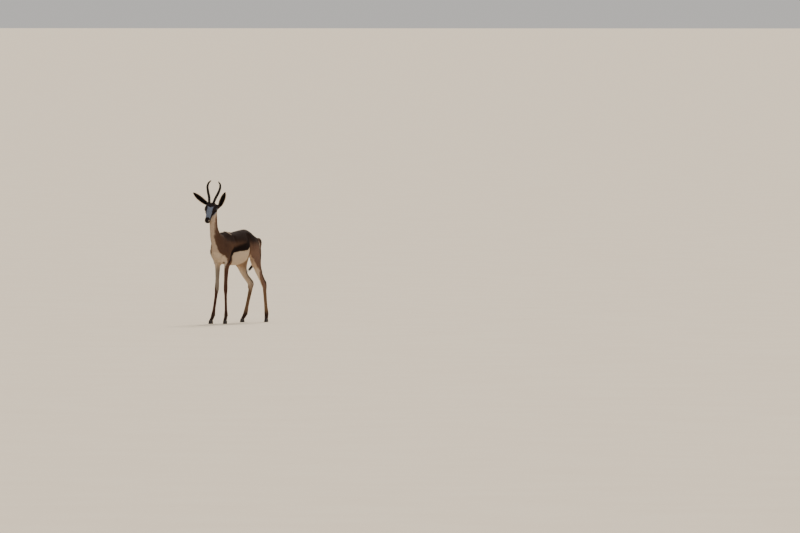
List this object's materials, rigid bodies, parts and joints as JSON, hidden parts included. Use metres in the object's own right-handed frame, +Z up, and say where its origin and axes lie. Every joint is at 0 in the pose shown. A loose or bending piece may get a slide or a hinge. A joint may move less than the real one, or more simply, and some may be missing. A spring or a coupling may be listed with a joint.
{
  "type": "springbok",
  "caption": "Life-size springbok ewe standing still on slender legs with cloven hooves, head turned, ears out, curved horns, dark flank stripe and white belly.",
  "frame": {"origin": "on the ground at the middle of the bounding box seen from above", "axes": "+Z up, -Y the way the body faces, +X the animal's left"},
  "size_m": [0.265, 0.9064, 1.1953],
  "materials": {
    "coat_body": "short smooth hair, cinnamon brown with a dark flank stripe and white belly and rump",
    "coat_neck": "short smooth hair, brown sides and nape, pale throat stripe",
    "coat_face": "very short hair, pale face with a brown cheek stripe and forehead",
    "coat_ear": "very short hair, pale rim and dark inside",
    "coat_tail": "white hair with a dark end tuft",
    "coat_leg": "very short flat hair, brown outside and pale inside",
    "eye": "wet dark brown",
    "horn": "dark horn with faint rings near its base",
    "hoof": "dark horn, slightly worn"
  },
  "bodies": {
    "root": {"ear_left": "coat_ear", "ear_right": "coat_ear", "eye_left": "eye", "eye_right": "eye", "head": "coat_face", "hoof_fore_left_inner": "hoof", "hoof_fore_left_outer": "hoof", "hoof_fore_right_inner": "hoof", "hoof_fore_right_outer": "hoof", "hoof_hind_left_inner": "hoof", "hoof_hind_left_outer": "hoof", "hoof_hind_right_inner": "hoof", "hoof_hind_right_outer": "hoof", "horn_left": "horn", "horn_right": "horn", "leg_fore_left": "coat_leg", "leg_fore_right": "coat_leg", "leg_hind_left": "coat_leg", "leg_hind_right": "coat_leg", "neck": "coat_neck", "tail": "coat_tail", "trunk": "coat_body"}
  },
  "joints": []
}
